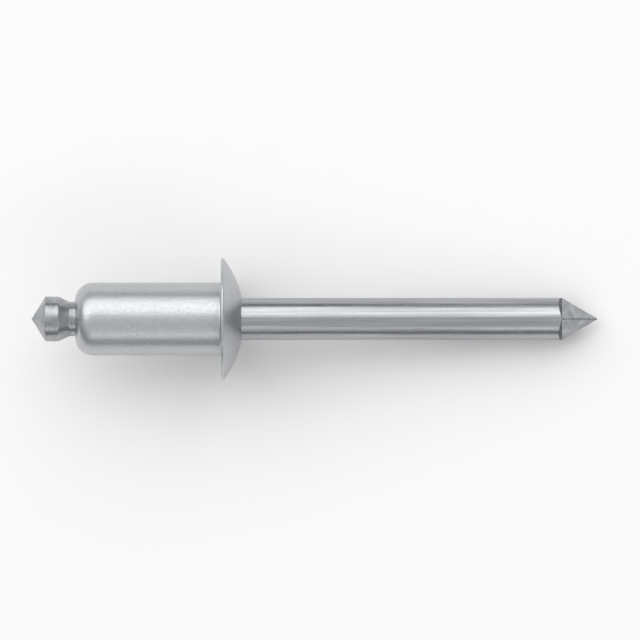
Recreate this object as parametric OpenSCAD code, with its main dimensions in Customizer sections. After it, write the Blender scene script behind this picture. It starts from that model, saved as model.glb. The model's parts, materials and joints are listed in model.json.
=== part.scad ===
// Dome-head blind rivet, open-end pattern: an aluminium body swaged onto the break neck of its mandrel.
// Both pieces are drawn about the rivet's own axis. Along it, zero is the underside of the flange, the tail
// lies below zero and the point of the mandrel above it. The rivet then lies down as it rests on a table,
// on the rim of its flange and on the lower corner of the point, with the point towards +X.

/* [Rivet body] */
// Outside diameter of the shank
shank_d = 5; // [4.2:0.1:6.4]
// Length of the shank, from the underside of the flange to the tail
shank_length = 10; // [6:0.5:20]
// Diameter of the flange
flange_d = 8.35; // [7.4:0.05:12]
// Height of the dome above the underside of the flange
dome_h = 1.58; // [1.2:0.02:2.4]
// Radius round the edge of the flange
rim_r = 0.12; // [0.04:0.02:0.3]
// Fillet between the shank and the flange
root_r = 0.12; // [0.04:0.02:0.3]
// Radius that the swage leaves round the tail
tail_r = 1.2; // [0.4:0.1:1.6]
// Length of the lip that is closed round the mandrel's neck
lip_length = 0.5; // [0.5:0.1:1]
// Chamfer at the mouth of the bore
mouth_chamfer = 0.08; // [0.02:0.02:0.2]

/* [Mandrel] */
// Diameter of the drawn wire
stem_d = 2.9; // [2.5:0.05:3.2]
// Length of the stem, from the underside of the flange to the start of the point
stem_length = 23.4; // [16:0.2:40]
// Length of the pinched point
point_length = 2.4; // [1.6:0.1:4]
// Width across the corners of the point's blunt tip
tip_w = 0.12; // [0.04:0.02:0.4]
// Angle from the axis of the face that each pinching jaw leaves behind its flat of the point
jaw_angle = 60; // [35:5:80]
// Diameter of the neck under the head
neck_d = 2.38; // [2.2:0.02:2.44]
// Length of the cone from the neck up to the full wire
shoulder_length = 0.5; // [0.3:0.1:1]
// Diameter at the bottom of the groove where the mandrel breaks
notch_d = 2.1; // [1.6:0.05:2.15]
// Width of the groove where the mandrel breaks
notch_w = 0.3; // [0.1:0.05:0.4]
// Distance from the tail, inside the lip, to the middle of the groove
notch_depth = 0.25; // [0.2:0.05:0.3]

/* [Mandrel head] */
// Diameter of the head
head_d = 3.08; // [2.6:0.02:4]
// Neck left open to view between the tail and the head
neck_show = 0.4; // [0.1:0.05:1]
// Length of the taper from the neck out to the head
head_taper = 0.76; // [0.3:0.02:1.5]
// Length of the straight band round the head
head_band = 0.9; // [0.3:0.05:2]
// Length of the cone that ends the head
head_cone = 0.95; // [0.5:0.05:2]

/* [Clearances] */
// Gap between the wire and the bore, at the radius
stem_gap = 0.025; // [0.01:0.005:0.06]
// Gap between the neck and the lip closed round it, at the radius
neck_gap = 0.02; // [0.01:0.005:0.06]
// Gap along the axis between the mandrel's shoulder and the seat behind the lip
shoulder_gap = 0.03; // [0.01:0.005:0.1]

/* [Hidden] */
$fn = 144;

// How far a cut runs past the surface that it opens
spill = 1;

shank_r = shank_d / 2;
flange_r = flange_d / 2;
stem_r = stem_d / 2;
neck_r = neck_d / 2;
head_r = head_d / 2;
notch_r = notch_d / 2;
bore_r = stem_r + stem_gap;
lip_r = neck_r + neck_gap;

// The tail's radius leaves a narrow flat ring round the lip, however thin the wall is
tail_land = 0.05;
tail_corner_r = min(tail_r, shank_r - lip_r - tail_land);

// The dome is a sphere that springs from the rim's radius, at this angle from the axis
rim_turn = 65;
rim_centre_r = flange_r - rim_r;
dome_edge_r = rim_centre_r + rim_r * sin(rim_turn);
dome_rise = dome_h - rim_r - rim_r * cos(rim_turn);
dome_r = (dome_edge_r ^ 2 + dome_rise ^ 2) / (2 * dome_rise);
dome_centre_z = dome_h - dome_r;
rim_angle = atan2(rim_centre_r, rim_r - dome_centre_z);
mouth_z = dome_centre_z + sqrt(dome_r ^ 2 - bore_r ^ 2);

// Stations along the axis, from the tip of the head to the tip of the point
tail_z = -shank_length;
lip_z = tail_z + lip_length;
seat_z = lip_z + shoulder_length;
shoulder_z = lip_z + shoulder_gap;
stem_start_z = shoulder_z + shoulder_length;
notch_z = tail_z + notch_depth;
neck_z = tail_z - neck_show;
taper_z = neck_z - head_taper;
band_z = taper_z - head_band;
head_tip_z = band_z - head_cone;
tip_z = stem_length + point_length;

// Each flat of the point runs between two of its four edges, an eighth of a turn from either
flat_start_r = stem_r * cos(45);
flat_end_r = tip_w / 2 * cos(45);
flat_taper = (flat_start_r - flat_end_r) / point_length;
jaw_r = stem_r + spill;

// The line that touches the rim of the flange and the corner where the point starts is the table
rim_drop = rim_centre_r - stem_r;
rim_reach = stem_length - rim_r;
tilt = atan2(rim_drop, rim_reach) + asin(rim_r / norm([rim_drop, rim_reach]));
axis_h = stem_length * sin(tilt) + stem_r * cos(tilt);
low_x = head_tip_z * cos(tilt);
high_x = tip_z * cos(tilt) + tip_w / 2 * sin(tilt);

// Lays a piece that stands on the rivet's axis down on the table, over the middle of its length
module laid_down() {
    translate([-(low_x + high_x) / 2, 0, axis_h])
        rotate([0, 90 + tilt, 0])
            children();
}

// Half of the flange: flat underneath, rounded at the rim and cut to the dome's sphere
module flange_outline() {
    over_r = rim_centre_r + 2 * rim_r * sin(rim_angle);
    over_z = rim_r + 2 * rim_r * cos(rim_angle);
    intersection() {
        translate([0, dome_centre_z]) circle(r = dome_r);
        union() {
            translate([rim_centre_r, rim_r]) circle(r = rim_r);
            polygon([
                [0, 0],
                [rim_centre_r, 0],
                [rim_centre_r, rim_r],
                [over_r, over_z],
                [over_r, dome_h + spill],
                [0, dome_h + spill],
            ]);
        }
    }
}

// Half of the body's outside: flange above, shank, root fillet and rounded tail below
module body_outline() {
    flange_outline();
    translate([0, tail_z + tail_corner_r]) square([shank_r, shank_length - tail_corner_r + rim_r]);
    translate([0, tail_z]) square([shank_r - tail_corner_r, tail_corner_r + rim_r]);
    translate([shank_r - tail_corner_r, tail_z + tail_corner_r]) circle(r = tail_corner_r);
    difference() {
        translate([shank_r, -root_r]) square(root_r);
        translate([shank_r + root_r, -root_r]) circle(r = root_r);
    }
}

// Half of the body's hollow: open lip, seat for the mandrel's shoulder, bore and chamfered mouth
module body_hollow() {
    polygon([
        [-shank_r, tail_z - spill],
        [lip_r, tail_z - spill],
        [lip_r, lip_z],
        [bore_r, seat_z],
        [bore_r, mouth_z - mouth_chamfer],
        [bore_r + 2 * mouth_chamfer, mouth_z + mouth_chamfer],
        [bore_r + 2 * mouth_chamfer, dome_h + spill],
        [-shank_r, dome_h + spill],
    ]);
}

module rivet_body() {
    color("lightgray")
        laid_down()
            rotate_extrude()
                difference() {
                    body_outline();
                    body_hollow();
                }
}

// Half of the mandrel as it is headed and necked, before its point is pinched
module mandrel_outline() {
    polygon([
        [0, head_tip_z],
        [head_r, band_z],
        [head_r, taper_z],
        [neck_r, neck_z],
        [neck_r, notch_z - notch_w / 2],
        [notch_r, notch_z],
        [neck_r, notch_z + notch_w / 2],
        [neck_r, shoulder_z],
        [stem_r, stem_start_z],
        [stem_r, tip_z],
        [0, tip_z],
    ]);
}

// What one of the pinching jaws takes away, to leave a flat of the point and the face behind it
module point_cut() {
    rotate([90, 0, 0])
        linear_extrude(height = 2 * jaw_r, center = true)
            polygon([
                [flat_start_r, stem_length],
                [jaw_r, stem_length - (jaw_r - flat_start_r) / tan(jaw_angle)],
                [jaw_r, tip_z + spill],
                [flat_end_r - spill * flat_taper, tip_z + spill],
            ]);
}

module mandrel() {
    color("slategray")
        laid_down()
            difference() {
                rotate_extrude() mandrel_outline();
                for (quarter = [0:3])
                    rotate([0, 0, 45 + 90 * quarter]) point_cut();
            }
}

rivet_body();
mandrel();
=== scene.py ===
"""A dome-head blind rivet, not yet set, with its steel mandrel: meshes, finishes, light and camera.

Both pieces are turned about the rivet's own axis, in millimetres, with zero at the underside of the flange
and the point of the mandrel upwards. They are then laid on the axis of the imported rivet, in metres.
"""

import json
import logging
import math
from abc import ABC, abstractmethod
from dataclasses import dataclass
from enum import Enum
from typing import ClassVar

import bmesh
import bpy
from bmesh.types import BMEdge, BMesh, BMFace, BMVert
from bpy.types import Material, Node, NodeSocket, NodeTree, Object
from mathutils import Euler, Matrix, Vector


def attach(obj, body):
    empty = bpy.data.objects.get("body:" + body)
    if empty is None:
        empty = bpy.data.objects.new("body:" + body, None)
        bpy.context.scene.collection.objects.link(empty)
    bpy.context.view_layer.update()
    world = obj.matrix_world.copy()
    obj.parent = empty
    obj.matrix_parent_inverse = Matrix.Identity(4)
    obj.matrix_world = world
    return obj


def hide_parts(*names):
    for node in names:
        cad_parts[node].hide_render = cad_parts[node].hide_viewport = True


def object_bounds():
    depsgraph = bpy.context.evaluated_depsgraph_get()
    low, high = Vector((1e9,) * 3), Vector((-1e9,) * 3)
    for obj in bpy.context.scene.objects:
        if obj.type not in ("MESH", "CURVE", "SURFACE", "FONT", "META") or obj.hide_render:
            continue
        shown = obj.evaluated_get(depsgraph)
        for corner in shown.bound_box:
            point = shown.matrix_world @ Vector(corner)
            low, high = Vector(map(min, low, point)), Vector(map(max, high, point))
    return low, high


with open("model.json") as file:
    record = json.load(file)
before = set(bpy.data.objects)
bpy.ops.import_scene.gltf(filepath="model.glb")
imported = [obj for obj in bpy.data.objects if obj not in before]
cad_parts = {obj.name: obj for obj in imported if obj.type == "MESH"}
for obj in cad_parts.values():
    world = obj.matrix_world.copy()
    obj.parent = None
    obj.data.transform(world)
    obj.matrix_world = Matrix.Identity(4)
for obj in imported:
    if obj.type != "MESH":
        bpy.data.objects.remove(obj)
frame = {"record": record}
CAD_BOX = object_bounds()

LOG = logging.getLogger("blind_rivet")

# Metres in a millimetre
MM = 0.001
# Sides of a turned piece. It is a multiple of four, so that a corner lies under each edge of the point
ROUND_STEPS = 256
# Longest edge of an arc in an outline, in millimetres, and the most that one of its corners turns
ARC_CHORD = 0.1
ARC_TURN_DEG = 8
# Corners closer than this, in millimetres, are one
SAME_POINT = 1e-4
# Distance from a corner, in millimetres, at which a straight stretch gets a holding point, which keeps its
# shading flat, and how many times as long as that a stretch is that has room for two
HOLD = 0.06
HOLD_ROOM = 4
# Faces across a rounded edge of a turned piece, and across a ridge of the point
EASE_STEPS = 4
RIDGE_STEPS = 3
# Edges that turn by more than this many degrees stay crisp
CRISP_DEG = 35
# Number of flats that the jaws pinch at the point
FLATS = 4
# Parts of a face's normal that differ by less than this are alike
ALIKE = 0.1
# A face that leans at least this share as far as the jaws' faces do is their work
JAW_SHARE = 0.5
# Watts that a square metre of a lamp's face takes to shine as brightly as white paper
WATTS_PER_WHITE = 4.0
# A noise node's output seldom leaves this range
NOISE_LOW, NOISE_HIGH = 0.3, 0.7
# Places of a Math node's sockets and a Mix node's colour sockets, of which the names aren't unique
MATH_FIRST, MATH_SECOND = 0, 1
MIX_FACTOR, MIX_FIRST, MIX_SECOND, MIX_RESULT = 0, 6, 7, 2


class Slot(Enum):
    """The record's material slots."""

    ALUMINIUM = "aluminium_body"
    STEEL = "steel_wire"


class WireZone(Enum):
    """Stretches of the mandrel, by how each was worked. The value is the number that its faces carry."""

    DRAWN = 0
    HEADED = 1
    PINCHED = 2
    # Torn steel behind the point's flats and along its ridges, painted darker to draw a shade line there
    BITTEN = 3


def linear(colour: str) -> tuple[float, float, float, float]:
    """Turns a colour written as sRGB hex into the linear values that a shader takes.

    Args:
        colour: Colour such as "#E6E7E9".

    Returns:
        Red, green, blue and an alpha of one.
    """
    shares = [int(colour[place : place + 2], 16) / 255 for place in (1, 3, 5)]
    red, green, blue = (s / 12.92 if s <= 0.04045 else ((s + 0.055) / 1.055) ** 2.4 for s in shares)
    return red, green, blue, 1.0


def add_node(
    tree: NodeTree, kind: str, inputs: dict[str | int, object] | None = None, **settings: object
) -> Node:
    """Adds a node to a tree, with its settings, values and links.

    Args:
        tree: Node tree that the node goes into.
        kind: Blender's name for the kind of node.
        inputs: For each input, by name or place, the value it is set to or the socket it is linked to.
        settings: Properties of the node itself.

    Returns:
        The new node.
    """
    node = tree.nodes.new(kind)
    for name, value in settings.items():
        setattr(node, name, value)
    for key, value in (inputs or {}).items():
        if isinstance(value, NodeSocket):
            tree.links.new(value, node.inputs[key])
        else:
            node.inputs[key].default_value = value
    return node


def new_look(name: str) -> tuple[Material, NodeTree]:
    """Starts a material with an empty node tree.

    Args:
        name: Name of the material.

    Returns:
        The material and its node tree.
    """
    look = bpy.data.materials.new(name)
    look.use_nodes = True
    look.node_tree.nodes.clear()
    return look, look.node_tree


@dataclass(frozen=True)
class RivetAxis:
    """The rivet's own axis as the part lies: where it meets the flange's underside, and which way it runs."""

    origin: Vector
    along: Vector

    @classmethod
    def from_record(cls, record: dict) -> "RivetAxis":
        """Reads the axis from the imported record, whose flange seat faces the tail.

        Args:
            record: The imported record.

        Returns:
            The axis, running towards the point of the mandrel.
        """
        seat = next(mount for mount in record["mounts"] if mount["name"] == "flange_seat")
        # The mount's place is beside the axis, which itself keeps to the middle
        x, _, z = seat["pos_m"]
        return cls(Vector((x, 0.0, z)), -Vector(seat["axis"]).normalized())

    def turn(self) -> Matrix:
        """Gives the turn from a lathe's upright axis to the rivet's. X ends up downwards and Y stays."""
        across = Vector((0.0, 1.0, 0.0))
        return Matrix((across.cross(self.along), across, self.along)).transposed()

    def place(self) -> Matrix:
        """Gives the matrix that lays a lathe's mesh, in millimetres, in its place in the part, in metres."""
        return Matrix.Translation(self.origin) @ self.turn().to_4x4() @ Matrix.Scale(MM, 4)


@dataclass(frozen=True)
class RivetGrain:
    """Coordinates for the patterns of a finish: millimetres about the rivet's axis, with Z along it."""

    axis: RivetAxis

    def start(self, tree: NodeTree) -> NodeSocket:
        """Adds the nodes that give the coordinates to a material.

        Args:
            tree: Node tree of the material.

        Returns:
            The output that carries the coordinates.
        """
        place = add_node(tree, "ShaderNodeTexCoord").outputs["Object"]
        inputs = {
            "Vector": place,
            "Location": self.axis.origin,
            "Rotation": self.axis.turn().to_euler(),
            "Scale": (MM, MM, MM),
        }
        return add_node(tree, "ShaderNodeMapping", inputs, vector_type="TEXTURE").outputs["Vector"]


@dataclass(frozen=True)
class Texture:
    """One scale of unevenness in a metal's surface, drawn as noise that may be stretched."""

    # Size of a feature each way, the last of them along the rivet's axis
    size_mm: tuple[float, float, float]
    # Height from its lowest to its highest
    depth_mm: float
    # How many finer layers the noise has
    detail: float = 2.0
    # How the feature is turned from the rivet's axis
    lean_deg: tuple[float, float, float] = (0.0, 0.0, 0.0)

    def noise(self, tree: NodeTree, place: NodeSocket) -> NodeSocket:
        """Adds the noise to a material.

        Args:
            tree: Node tree of the material.
            place: Coordinates in millimetres.

        Returns:
            The output that carries the noise, from 0 to 1.
        """
        inputs = {
            "Vector": place,
            "Rotation": Euler([math.radians(turn) for turn in self.lean_deg]),
            "Scale": self.size_mm,
        }
        spot = add_node(tree, "ShaderNodeMapping", inputs, vector_type="TEXTURE").outputs["Vector"]
        inputs = {"Vector": spot, "Scale": 1.0, "Detail": self.detail}
        return add_node(tree, "ShaderNodeTexNoise", inputs).outputs["Fac"]


@dataclass(frozen=True)
class Hairline(Texture):
    """Fine scratches, where parts have rubbed on each other in a heap.

    Noise that is thin one way only lies in sheets, which leave a line on any surface that they cross. Noise
    that is thin two ways leaves a line only along itself, and winds round the axis to keep to the wire.
    """

    detail: float = 1.0
    # How far they turn about the rivet's axis in a millimetre along it
    twist_deg: float = 0.0
    # The noise is a scratch where it is below the first of these, and full deep below the second
    edge: float = 0.33
    floor: float = 0.24

    def noise(self, tree: NodeTree, place: NodeSocket) -> NodeSocket:
        """Adds the scratches to a material.

        Args:
            tree: Node tree of the material.
            place: Coordinates in millimetres.

        Returns:
            The output that carries their height, from 0 at the bottom of a scratch to 1 between them.
        """
        if self.twist_deg:
            station = add_node(tree, "ShaderNodeSeparateXYZ", {"Vector": place}).outputs["Z"]
            inputs = {MATH_FIRST: station, MATH_SECOND: math.radians(self.twist_deg)}
            turn = add_node(tree, "ShaderNodeMath", inputs, operation="MULTIPLY").outputs["Value"]
            inputs = {"Vector": place, "Angle": turn}
            place = add_node(tree, "ShaderNodeVectorRotate", inputs, rotation_type="Z_AXIS").outputs["Vector"]
        inputs = {"Value": super().noise(tree, place), "From Min": self.floor, "From Max": self.edge}
        return add_node(tree, "ShaderNodeMapRange", inputs, interpolation_type="SMOOTHSTEP").outputs["Result"]


@dataclass(frozen=True)
class MetalFinish:
    """A bare metal surface: its colour, how dull it is, and what its making has left in it."""

    name: str
    colour: str
    # Colour of the duller places, which the first texture picks out
    dull_colour: str
    roughness: float
    # How far the roughness strays either way, between the first texture's low and high places
    stray: float
    textures: tuple[Texture, ...]

    def made(self, grain: RivetGrain) -> Material:
        """Makes the material.

        Args:
            grain: Coordinates that its textures follow.

        Returns:
            The material.
        """
        look, tree = new_look(self.name)
        place = grain.start(tree)
        heights = [texture.noise(tree, place) for texture in self.textures]
        under: dict[str, NodeSocket] = {}
        for texture, height in zip(self.textures, heights):
            inputs = {"Height": height, "Distance": texture.depth_mm * MM, "Strength": 1.0, **under}
            under = {"Normal": add_node(tree, "ShaderNodeBump", inputs).outputs["Normal"]}
        inputs = {"Value": heights[0], "From Min": NOISE_LOW, "From Max": NOISE_HIGH}
        share = add_node(tree, "ShaderNodeMapRange", inputs).outputs["Result"]
        inputs = {
            "Value": share,
            "To Min": self.roughness - self.stray,
            "To Max": self.roughness + self.stray,
        }
        dullness = add_node(tree, "ShaderNodeMapRange", inputs).outputs["Result"]
        inputs = {MIX_FACTOR: share, MIX_FIRST: linear(self.colour), MIX_SECOND: linear(self.dull_colour)}
        tone = add_node(tree, "ShaderNodeMix", inputs, data_type="RGBA").outputs[MIX_RESULT]
        inputs = {"Base Color": tone, "Metallic": 1.0, "Roughness": dullness, **under}
        shader = add_node(tree, "ShaderNodeBsdfPrincipled", inputs)
        add_node(tree, "ShaderNodeOutputMaterial", {"Surface": shader.outputs["BSDF"]})
        return look


# Aluminium alloy, cold-formed and tumbled in chips: a pale even satin. The chips leave shallow dents and
# fine scratches every way, and the forming punch leaves faint flow lines along the shank. The dents are in
# truth about 0.05 mm apart and the lines 0.02 mm, and both are drawn coarser to show. Each set of scratches
# leans so that the one place where its sheets lie along the tail's rounding faces the table
TUMBLED_ALUMINIUM = MetalFinish(
    name="tumbled_aluminium",
    colour="#C4C6C8",
    dull_colour="#BABCBF",
    roughness=0.36,
    stray=0.03,
    textures=(
        Texture(size_mm=(0.16, 0.16, 0.20), depth_mm=0.007),
        Texture(size_mm=(0.13, 0.13, 5.0), depth_mm=0.005),
        Hairline(size_mm=(0.06, 1.6, 1.6), depth_mm=0.004, lean_deg=(0, -30, 130)),
        Hairline(size_mm=(0.06, 1.1, 1.1), depth_mm=0.004, lean_deg=(0, -33, 235)),
        Hairline(size_mm=(0.06, 2.2, 2.2), depth_mm=0.004, lean_deg=(0, 30, 5)),
    ),
)
# Steel wire, drawn bright through a die: darker and glossier than the aluminium, with straight lines along
# it, in truth under 0.02 mm apart and drawn coarser to show
DRAWN_STEEL = MetalFinish(
    name="drawn_steel",
    colour="#B6B8BB",
    dull_colour="#9A9CA0",
    roughness=0.27,
    stray=0.06,
    textures=(
        Texture(size_mm=(0.18, 0.18, 9.0), depth_mm=0.010, detail=3.0),
        Texture(size_mm=(0.9, 0.9, 4.0), depth_mm=0.006),
        Hairline(size_mm=(0.05, 0.05, 2.6), depth_mm=0.002, twist_deg=9),
        Hairline(size_mm=(0.05, 0.05, 1.6), depth_mm=0.002, twist_deg=-26),
    ),
)
# The same steel where it was struck in a heading die: the drawing lines are gone, and the die leaves faint
# rings round the axis, in truth about 0.03 mm apart and drawn coarser to show
HEADED_STEEL = MetalFinish(
    name="headed_steel",
    colour="#AFB1B4",
    dull_colour="#96989B",
    roughness=0.30,
    stray=0.05,
    textures=(
        Texture(size_mm=(0.45, 0.45, 0.45), depth_mm=0.006),
        Texture(size_mm=(4.0, 4.0, 0.12), depth_mm=0.005),
        Texture(size_mm=(0.14, 0.14, 0.14), depth_mm=0.004),
    ),
)
# The same steel where the jaws pinched it: rubbed across the wire, so that fine lines run across the flats
PINCHED_STEEL = MetalFinish(
    name="pinched_steel",
    colour="#B5B7BA",
    dull_colour="#9A9CA0",
    roughness=0.29,
    stray=0.05,
    textures=(
        Texture(size_mm=(0.6, 0.6, 0.4), depth_mm=0.006),
        Texture(size_mm=(1.4, 1.4, 0.11), depth_mm=0.005),
    ),
)
# The same steel where the edges of the jaws bit in and where they met: torn and dull, and painted much darker
# than torn steel is, as painted shade that draws a line behind each flat of the point and along the ridges
# between them
BITTEN_STEEL_AND_SHADE_LINE = MetalFinish(
    name="bitten_steel_and_shade_line",
    colour="#7C7E82",
    dull_colour="#65676B",
    roughness=0.55,
    stray=0.08,
    textures=(
        Texture(size_mm=(0.3, 0.3, 0.3), depth_mm=0.010),
        Texture(size_mm=(0.10, 0.10, 0.10), depth_mm=0.008),
    ),
)


@dataclass(frozen=True)
class MattBoard:
    """White board with a matt surface, which takes the rivet's soft shadow and nothing else."""

    colour: str = "#FCFCFC"

    def made(self) -> Material:
        """Makes the material.

        Returns:
            The material.
        """
        look, tree = new_look("matt_board")
        inputs = {"Base Color": linear(self.colour), "Roughness": 1.0, "Specular IOR Level": 0.0}
        shader = add_node(tree, "ShaderNodeBsdfPrincipled", inputs)
        add_node(tree, "ShaderNodeOutputMaterial", {"Surface": shader.outputs["BSDF"]})
        return look


class OutlinePen:
    """Draws half of a turned piece's outline, as one wire in the plane of X and Z, in millimetres."""

    def __init__(self, radius: float, station: float) -> None:
        """Starts the outline at a point.

        Args:
            radius: Distance of the point from the axis.
            station: Place of the point along the axis.
        """
        self.mesh: BMesh = bmesh.new()
        self.end: BMVert = self.mesh.verts.new((radius, 0.0, station))

    def step(self, place: Vector) -> BMVert:
        """Draws one straight edge.

        Args:
            place: Far end of the edge.

        Returns:
            The corner at the far end.
        """
        corner = self.mesh.verts.new(place)
        self.mesh.edges.new((self.end, corner))
        self.end = corner
        return corner

    def line(self, radius: float, station: float) -> BMVert:
        """Draws a straight stretch, with a holding point near each end if it is long enough to have them.

        Args:
            radius: Distance from the axis of the stretch's far end.
            station: Place along the axis of the stretch's far end.

        Returns:
            The corner at the far end.
        """
        start, goal = self.end.co.copy(), Vector((radius, 0.0, station))
        length = (goal - start).length
        if length > HOLD_ROOM * HOLD:
            self.step(start.lerp(goal, HOLD / length))
            self.step(start.lerp(goal, 1 - HOLD / length))
        return self.step(goal)

    def arc(self, centre: tuple[float, float], turn_deg: float) -> None:
        """Swings the pen about a centre.

        Args:
            centre: Radius and station of the centre.
            turn_deg: Angle of the swing. Above zero, it takes a pen that stands outside its centre upwards.
        """
        hub = Vector((centre[0], 0.0, centre[1]))
        turn = math.radians(turn_deg)
        length = (self.end.co - hub).length * abs(turn)
        steps = math.ceil(max(length / ARC_CHORD, abs(turn_deg) / ARC_TURN_DEG))
        swung = bmesh.ops.spin(
            self.mesh, geom=[self.end], cent=hub, axis=(0.0, -1.0, 0.0), dvec=(0.0, 0.0, 0.0),
            angle=turn, steps=steps, use_merge=False, use_duplicate=False,
        )
        self.end = next(item for item in swung["geom_last"] if isinstance(item, BMVert))

    def close(self, corner: BMVert) -> None:
        """Joins the end of the outline to a corner that it already has."""
        self.mesh.edges.new((self.end, corner))

    def ease(self, corners: list[BMVert], radius: float) -> None:
        """Rounds corners of the outline.

        Args:
            corners: Corners to round.
            radius: Distance from each corner at which the rounding starts.
        """
        bmesh.ops.bevel(
            self.mesh, geom=corners, offset=radius, offset_type="OFFSET", segments=EASE_STEPS, profile=0.5,
            affect="VERTICES", material=-1,
        )

    def turned(self) -> BMesh:
        """Spins the outline into a closed piece. An end that was left open becomes a flat one.

        Returns:
            The piece's mesh, with its faces outwards.
        """
        wire = [*self.mesh.verts, *self.mesh.edges]
        bmesh.ops.spin(
            self.mesh, geom=wire, cent=(0.0, 0.0, 0.0), axis=(0.0, 0.0, 1.0), dvec=(0.0, 0.0, 0.0),
            angle=math.tau, steps=ROUND_STEPS, use_merge=True, use_duplicate=False,
        )
        bmesh.ops.remove_doubles(self.mesh, verts=self.mesh.verts, dist=SAME_POINT)
        bmesh.ops.holes_fill(self.mesh, edges=self.mesh.edges, sides=0)
        bmesh.ops.recalc_face_normals(self.mesh, faces=self.mesh.faces)
        return self.mesh


class RivetPiece(ABC):
    """One piece of the rivet: shaped about a lathe's axis, dressed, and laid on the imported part's axis."""

    # Name of the piece, the solid that it stands for, and the record's slot for its finish
    NAME: ClassVar[str]
    NODE: ClassVar[str]
    SLOT: ClassVar[Slot]

    @abstractmethod
    def shape(self) -> BMesh:
        """Makes the piece's mesh.

        Returns:
            The mesh, in millimetres on the lathe.
        """

    @abstractmethod
    def dress(self, mesh: BMesh, grain: RivetGrain) -> list[Material]:
        """Gives the piece its finishes.

        Args:
            mesh: The piece's mesh, whose faces may be given the numbers of their materials.
            grain: Coordinates that the finishes follow.

        Returns:
            The materials, in the order of the numbers.
        """

    @staticmethod
    def put_in_order(mesh: BMesh) -> None:
        """Puts the faces in the order of their corners, because a spin leaves them in another one each run.

        Args:
            mesh: The piece's mesh. It is changed.
        """
        mesh.verts.index_update()
        count = len(mesh.verts)

        def rank(face: BMFace) -> int:
            """Ranks a face by its three lowest corners, which no two faces share."""
            first, second, third, *_ = sorted(corner.index for corner in face.verts)
            return (first * count + second) * count + third

        mesh.faces.sort(key=rank)

    def build(self, axis: RivetAxis, grain: RivetGrain) -> Object:
        """Makes the piece an object of the scene, smooth between its crisp edges, and seats it in the frame.

        Args:
            axis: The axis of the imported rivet.
            grain: Coordinates that its finish follows.

        Returns:
            The object, which stands at the origin with its place in its mesh.
        """
        mesh = self.shape()
        self.put_in_order(mesh)
        data = bpy.data.meshes.new(self.NAME)
        for look in self.dress(mesh, grain):
            data.materials.append(look)
        mesh.transform(axis.place())
        mesh.to_mesh(data)
        mesh.free()
        data.shade_smooth()
        data.set_sharp_from_angle(angle=math.radians(CRISP_DEG))
        piece = bpy.data.objects.new(self.NAME, data)
        bpy.context.scene.collection.objects.link(piece)
        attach(piece, "root")
        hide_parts(self.NODE)
        return piece


@dataclass
class RivetBody(RivetPiece):
    """The aluminium body: domed flange, shank and a tail that is swaged in round the mandrel's neck."""

    NAME = "rivet_body_satin"
    NODE = "rivet_body"
    SLOT = Slot.ALUMINIUM

    shank_r: float = 2.5
    shank_length: float = 10.0
    flange_r: float = 4.175
    dome_h: float = 1.58
    rim_r: float = 0.12
    root_r: float = 0.12
    tail_r: float = 1.2
    lip_r: float = 1.21
    lip_length: float = 0.5
    seat_length: float = 0.5
    bore_r: float = 1.475
    mouth_chamfer: float = 0.08
    # Rounding of the edges that the solids leave sharp
    lip_ease: float = 0.03
    seat_ease: float = 0.05
    mouth_ease: float = 0.02
    finish: MetalFinish = TUMBLED_ALUMINIUM

    def dome_radius(self) -> float:
        """Works out the sphere that is as high as the dome and runs smoothly into the rim's radius.

        Returns:
            The radius of the sphere.
        """
        rim_centre = self.flange_r - self.rim_r
        rise = self.dome_h - self.rim_r
        return (rim_centre**2 + rise**2 - self.rim_r**2) / (2 * (rise - self.rim_r))

    def shape(self) -> BMesh:
        """Turns the body, from the mouth of the bore over the dome and down the shank to the lip inside.

        Returns:
            The body's mesh.
        """
        rim_centre = self.flange_r - self.rim_r
        dome_r = self.dome_radius()
        dome_centre = self.dome_h - dome_r
        chamfer_r = self.bore_r + self.mouth_chamfer
        mouth_angle = math.asin(chamfer_r / dome_r)
        rim_angle = math.atan2(rim_centre, self.rim_r - dome_centre)
        tail_z = -self.shank_length

        pen = OutlinePen(chamfer_r, dome_centre + dome_r * math.cos(mouth_angle))
        mouth = pen.end
        pen.arc((0.0, dome_centre), -math.degrees(rim_angle - mouth_angle))
        pen.arc((rim_centre, self.rim_r), -(180 - math.degrees(rim_angle)))
        pen.line(self.shank_r + self.root_r, 0.0)
        pen.arc((self.shank_r + self.root_r, -self.root_r), 90)
        pen.line(self.shank_r, tail_z + self.tail_r)
        pen.arc((self.shank_r - self.tail_r, tail_z + self.tail_r), -90)
        lip_edge = pen.line(self.lip_r, tail_z)
        lip_inside = pen.line(self.lip_r, tail_z + self.lip_length)
        seat = pen.line(self.bore_r, tail_z + self.lip_length + self.seat_length)
        throat = pen.line(self.bore_r, mouth.co.z - self.mouth_chamfer)
        pen.close(mouth)
        pen.ease([lip_edge], self.lip_ease)
        pen.ease([lip_inside, seat], self.seat_ease)
        pen.ease([mouth, throat], self.mouth_ease)
        return pen.turned()

    def dress(self, mesh: BMesh, grain: RivetGrain) -> list[Material]:
        """Gives the one finish of the body, whose faces all carry the number nought."""
        return [self.finish.made(grain)]


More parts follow.
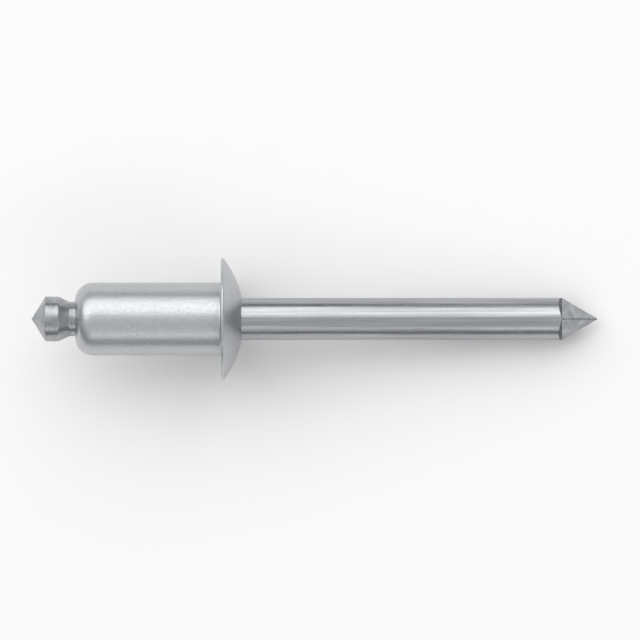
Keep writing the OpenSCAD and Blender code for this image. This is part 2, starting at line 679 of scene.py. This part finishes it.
@dataclass
class Mandrel(RivetPiece):
    """The steel wire that sets the rivet: headed, necked to break inside the lip, and pinched to a point."""

    NAME = "mandrel_bright"
    NODE = "mandrel"
    SLOT = Slot.STEEL
    FINISHES: ClassVar[dict[WireZone, MetalFinish]] = {
        WireZone.DRAWN: DRAWN_STEEL,
        WireZone.HEADED: HEADED_STEEL,
        WireZone.PINCHED: PINCHED_STEEL,
        WireZone.BITTEN: BITTEN_STEEL_AND_SHADE_LINE,
    }

    stem_r: float = 1.45
    stem_length: float = 23.4
    point_length: float = 2.4
    tip_r: float = 0.06
    jaw_deg: float = 60.0
    neck_r: float = 1.19
    notch_r: float = 1.05
    notch_z: float = -9.75
    notch_w: float = 0.3
    shoulder_z: float = -9.47
    shoulder_length: float = 0.5
    neck_z: float = -10.4
    head_r: float = 1.54
    taper_z: float = -11.16
    band_z: float = -12.06
    head_tip_z: float = -13.01
    # Rounding of the edges that the solids leave sharp
    shoulder_ease: float = 0.04
    neck_ease: float = 0.08
    head_ease: float = 0.05
    ridge_ease: float = 0.05
    # Width of the strip inside each flat's edge, which keeps its shading flat
    flat_hold: float = 0.03

    def shape(self) -> BMesh:
        """Turns the mandrel, from the stem's open end to the tip of the head, and pinches its point.

        Returns:
            The mandrel's mesh.
        """
        pen = OutlinePen(self.stem_r, self.stem_length)
        shoulder = pen.line(self.stem_r, self.shoulder_z + self.shoulder_length)
        shoulder_foot = pen.line(self.neck_r, self.shoulder_z)
        pen.line(self.neck_r, self.notch_z + self.notch_w / 2)
        pen.line(self.notch_r, self.notch_z)
        pen.line(self.neck_r, self.notch_z - self.notch_w / 2)
        neck = pen.line(self.neck_r, self.neck_z)
        taper = pen.line(self.head_r, self.taper_z)
        band = pen.line(self.head_r, self.band_z)
        pen.line(0.0, self.head_tip_z)
        pen.ease([shoulder, shoulder_foot], self.shoulder_ease)
        pen.ease([neck], self.neck_ease)
        pen.ease([taper, band], self.head_ease)
        mesh = pen.turned()
        self.bite(mesh)
        self.draw_out(mesh)
        return mesh

    def bite(self, mesh: BMesh) -> None:
        """Cuts what the four jaws take from the end of the stem, which leaves a square there.

        Args:
            mesh: The turned mandrel, whose stem ends in a flat disc. It is changed.
        """
        flat_r = self.stem_r * math.cos(math.pi / FLATS)
        lean = math.radians(self.jaw_deg)
        for flat in range(FLATS):
            # A flat faces midway between two ridges, the first of which is at nought
            way = math.tau * (flat + 0.5) / FLATS
            out = Vector((math.cos(way), math.sin(way), 0.0))
            cut = bmesh.ops.bisect_plane(
                mesh, geom=[*mesh.verts, *mesh.edges, *mesh.faces], dist=SAME_POINT, clear_outer=True,
                plane_co=out * flat_r + Vector((0.0, 0.0, self.stem_length)),
                plane_no=out * math.cos(lean) + Vector((0.0, 0.0, math.sin(lean))),
            )
            rim = [item for item in cut["geom_cut"] if isinstance(item, BMEdge)]
            bmesh.ops.contextual_create(mesh, geom=rim)

    def draw_out(self, mesh: BMesh) -> None:
        """Draws the point out from the square at the end of the stem, and rounds its ridges.

        Args:
            mesh: The mandrel after the jaws' cuts. It is changed.
        """
        square = max(mesh.faces, key=self.station)
        drawn = bmesh.ops.extrude_discrete_faces(mesh, faces=[square])["faces"]
        corners = [corner for face in drawn for corner in face.verts]
        share = self.tip_r / self.stem_r
        bmesh.ops.scale(mesh, vec=(share, share, 1.0), verts=corners)
        bmesh.ops.translate(mesh, vec=(0.0, 0.0, self.point_length), verts=corners)
        ridges = [
            edge for corner in corners for edge in corner.link_edges if edge.other_vert(corner) not in corners
        ]
        bmesh.ops.bevel(
            mesh, geom=ridges, offset=self.ridge_ease, offset_type="OFFSET", segments=RIDGE_STEPS,
            profile=0.5, affect="EDGES", clamp_overlap=True, material=-1,
        )
        bmesh.ops.dissolve_degenerate(mesh, edges=mesh.edges, dist=SAME_POINT)
        bmesh.ops.recalc_face_normals(mesh, faces=mesh.faces)
        beyond = [face for face in mesh.faces if self.station(face) > self.stem_length]
        flats = sorted(beyond, key=BMFace.calc_area)[-FLATS:]
        bmesh.ops.inset_individual(
            mesh, faces=flats, thickness=self.flat_hold, depth=0.0, use_even_offset=True
        )

    @staticmethod
    def station(face: BMFace) -> float:
        """Gives the place along the axis of a face's middle."""
        return face.calc_center_median().z

    def zone(self, face: BMFace) -> WireZone:
        """Tells which stretch of the mandrel a face lies on.

        Args:
            face: A face of the finished shape.

        Returns:
            The stretch.
        """
        if self.station(face) < self.notch_z:
            return WireZone.HEADED
        if self.station(face) > self.stem_length:
            # A flat leans as far to one side as to the other, and a ridge doesn't
            even = math.isclose(abs(face.normal.x), abs(face.normal.y), abs_tol=ALIKE)
            # Ridges take the torn finish, whose dark colour paints a shade line along them
            return WireZone.PINCHED if even else WireZone.BITTEN
        # Jaw faces take the same finish, whose dark colour paints a shade line behind each flat
        jaw_face_with_shade_line = face.normal.z > JAW_SHARE * math.sin(math.radians(self.jaw_deg))
        return WireZone.BITTEN if jaw_face_with_shade_line else WireZone.DRAWN

    def dress(self, mesh: BMesh, grain: RivetGrain) -> list[Material]:
        """Gives each face the number of the stretch that it lies on.

        Args:
            mesh: The finished shape. It is changed.
            grain: Coordinates that the finishes follow.

        Returns:
            The materials of the stretches, in their order.
        """
        for face in mesh.faces:
            face.material_index = self.zone(face).value
        return [self.FINISHES[zone].made(grain) for zone in WireZone]


@dataclass(frozen=True)
class Softbox:
    """A flat soft lamp that hangs over the rivet and faces it."""

    name: str
    # Where it hangs from the middle of the part, in metres
    offset: tuple[float, float, float]
    width: float
    height: float
    # Brightness of its face, where one is white
    radiance: float

    def hang(self, target: Vector) -> None:
        """Makes the lamp.

        Args:
            target: Point that it faces.
        """
        lamp = bpy.data.lights.new(self.name, "AREA")
        lamp.shape = "RECTANGLE"
        lamp.size = self.width
        lamp.size_y = self.height
        lamp.energy = self.radiance * WATTS_PER_WHITE * self.width * self.height
        holder = bpy.data.objects.new(self.name, lamp)
        bpy.context.scene.collection.objects.link(holder)
        holder.location = target + Vector(self.offset)
        holder.rotation_mode = "QUATERNION"
        holder.rotation_quaternion = (-Vector(self.offset)).to_track_quat("-Z", "Y")


@dataclass(frozen=True)
class Studio:
    """The white floor, the lamps and the plain surroundings."""

    floor_size: float = 8.0
    sky_colour: str = "#FFFFFF"
    # Brightness of the surroundings at the floor's level, and from the height where they stop brightening
    horizon_level: float = 0.05
    sky_level: float = 0.70
    sky_from: float = 0.7
    lamps: tuple[Softbox, ...] = (
        Softbox("key_softbox", (-0.25, 0.72, 0.85), 2.3, 1.2, 1.0),
        Softbox("fill_softbox", (0.30, -0.95, 0.75), 1.4, 0.3, 0.75),
    )

    def build(self, target: Vector) -> None:
        """Lays the floor, hangs the lamps and sets the surroundings.

        Args:
            target: Middle of the part, which the lamps face.
        """
        self.lay_floor()
        for lamp in self.lamps:
            lamp.hang(target)
        self.set_surroundings()
        LOG.info("studio: floor of %.1f m, %d lamps", self.floor_size, len(self.lamps))

    def lay_floor(self) -> None:
        """Makes the floor, which is no part of the object."""
        mesh = bmesh.new()
        bmesh.ops.create_grid(mesh, x_segments=1, y_segments=1, size=self.floor_size / 2)
        data = bpy.data.meshes.new("floor")
        mesh.to_mesh(data)
        mesh.free()
        data.materials.append(MattBoard().made())
        floor = bpy.data.objects.new("floor", data)
        bpy.context.scene.collection.objects.link(floor)

    def set_surroundings(self) -> None:
        """Makes the world: dark at the horizon, which gives the metal dark edges, and pale overhead."""
        world = bpy.data.worlds.new("studio")
        bpy.context.scene.world = world
        world.use_nodes = True
        tree = world.node_tree
        tree.nodes.clear()
        way = add_node(tree, "ShaderNodeTexCoord").outputs["Generated"]
        height = add_node(tree, "ShaderNodeSeparateXYZ", {"Vector": way}).outputs["Z"]
        inputs = {
            "Value": height,
            "From Max": self.sky_from,
            "To Min": self.horizon_level,
            "To Max": self.sky_level,
        }
        level = add_node(tree, "ShaderNodeMapRange", inputs).outputs["Result"]
        inputs = {"Color": linear(self.sky_colour), "Strength": level}
        sky = add_node(tree, "ShaderNodeBackground", inputs)
        add_node(tree, "ShaderNodeOutputWorld", {"Surface": sky.outputs["Background"]})


@dataclass(frozen=True)
class DrawingView:
    """The camera, square on to the rivet's axis as in the drawing, and so far off that depth hardly shows."""

    # The drawing's scale, and where it shows the middle of the flange's underside
    image_px: float = 640.0
    px_per_mm: float = 14.568
    seat_px: tuple[float, float] = (221.03, 319.0)
    lens_mm: float = 800.0
    sensor_mm: float = 36.0
    # How far it sees, as a multiple of its distance
    sight: float = 10.0

    def build(self, axis: RivetAxis) -> None:
        """Makes the camera and makes it the scene's own.

        Args:
            axis: The rivet's axis, which lies level in the picture.
        """
        up = Vector((0.0, 1.0, 0.0))
        back = axis.along.cross(up)
        middle = self.image_px / 2
        along_mm = (middle - self.seat_px[0]) / self.px_per_mm
        up_mm = (self.seat_px[1] - middle) / self.px_per_mm
        target = axis.origin + (axis.along * along_mm + up * up_mm) * MM
        width = self.image_px / self.px_per_mm * MM
        distance = width * self.lens_mm / self.sensor_mm
        data = bpy.data.cameras.new("camera")
        data.lens = self.lens_mm
        data.sensor_width = self.sensor_mm
        data.clip_end = self.sight * distance
        camera = bpy.data.objects.new("camera", data)
        bpy.context.scene.collection.objects.link(camera)
        camera.location = target + back * distance
        camera.rotation_mode = "QUATERNION"
        camera.rotation_quaternion = Matrix((axis.along, up, back)).transposed().to_quaternion()
        bpy.context.scene.camera = camera


def main() -> None:
    """Builds the rivet in its studio."""
    logging.basicConfig(level=logging.INFO, format="%(name)s: %(message)s")
    bpy.context.scene.view_settings.view_transform = "Standard"
    axis = RivetAxis.from_record(frame["record"])
    grain = RivetGrain(axis)
    DrawingView().build(axis)
    Studio().build((CAD_BOX[0] + CAD_BOX[1]) / 2)
    for part in (RivetBody(), Mandrel()):
        piece = part.build(axis, grain)
        LOG.info("%s: %d faces, stands for %s", piece.name, len(piece.data.polygons), part.NODE)


if __name__ == "__main__":
    main()
